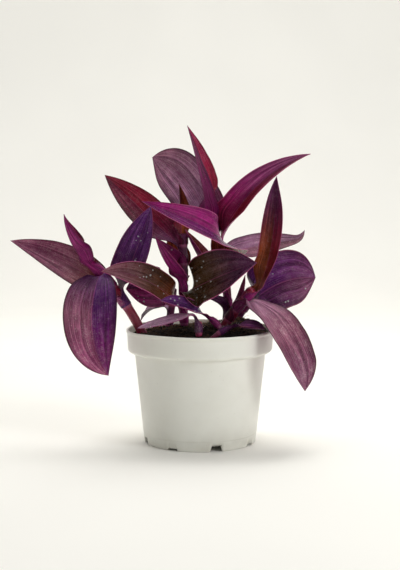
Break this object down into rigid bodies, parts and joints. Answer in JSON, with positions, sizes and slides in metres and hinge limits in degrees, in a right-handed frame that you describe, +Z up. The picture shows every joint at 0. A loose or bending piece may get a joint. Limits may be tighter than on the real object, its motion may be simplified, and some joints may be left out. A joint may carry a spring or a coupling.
{
  "type": "potted tradescantia",
  "caption": "Purple-heart tradescantia house plant with long folded purple leaves on short stems, growing in a white plastic nursery pot with a rim band and drainage notches",
  "frame": {"origin": "the middle of the flat pad under the pot, on the surface it stands on", "axes": "Z up along the pot's axis; the plant's best side faces -Y; X runs to the right seen from that side"},
  "size_m": [0.2536, 0.13, 0.2569],
  "materials": {
    "pot": "white moulded polypropylene, satin",
    "mix": "brown fibrous peat and coir potting mix",
    "stem": "crimson succulent stem, smooth",
    "leaf_crimson": "crimson leaf lit from behind",
    "leaf_dusty": "dusty mauve leaf, satin, finely lined",
    "leaf_magenta": "magenta leaf, satin",
    "leaf_olive": "olive brown and purple leaf, satin",
    "leaf_pink": "pale pink speckled leaf",
    "leaf_plum": "plum leaf with a dusty bloom",
    "leaf_rusty": "rusty orange-brown young leaf",
    "leaf_violet": "dark violet leaf with a soft sheen"
  },
  "bodies": {
    "root": {"pot": "pot", "potting_mix": "mix", "stem_left": "stem", "stem_middle": "stem", "stem_short": "stem", "stem_back": "stem", "stem_right": "stem", "stem_right_behind": "stem", "stem_stub": "stem", "stem_low": "stem", "stem_seedling": "stem", "leaf_left_upright": "leaf_violet", "leaf_left_long": "leaf_dusty", "leaf_left_drooping": "leaf_plum", "leaf_left_young": "leaf_crimson", "leaf_middle_front_left": "leaf_olive", "leaf_middle_front_right": "leaf_olive", "leaf_middle_dark": "leaf_violet", "leaf_middle_rusty": "leaf_rusty", "leaf_middle_far_left": "leaf_crimson", "leaf_middle_young": "leaf_rusty", "leaf_short_back": "leaf_dusty", "leaf_short_left": "leaf_magenta", "leaf_back_low": "leaf_violet", "leaf_back_inner": "leaf_violet", "leaf_back_far_right": "leaf_dusty", "leaf_back_arching": "leaf_magenta", "leaf_back_long_right": "leaf_crimson", "leaf_back_wide": "leaf_dusty", "leaf_back_tall": "leaf_crimson", "leaf_low_arched": "leaf_violet", "leaf_right_narrow": "leaf_crimson", "leaf_right_drooping": "leaf_dusty", "leaf_right_upright": "leaf_plum", "leaf_right_round": "leaf_violet", "leaf_stub_speckled": "leaf_pink", "leaf_seedling": "leaf_plum"}
  },
  "joints": []
}
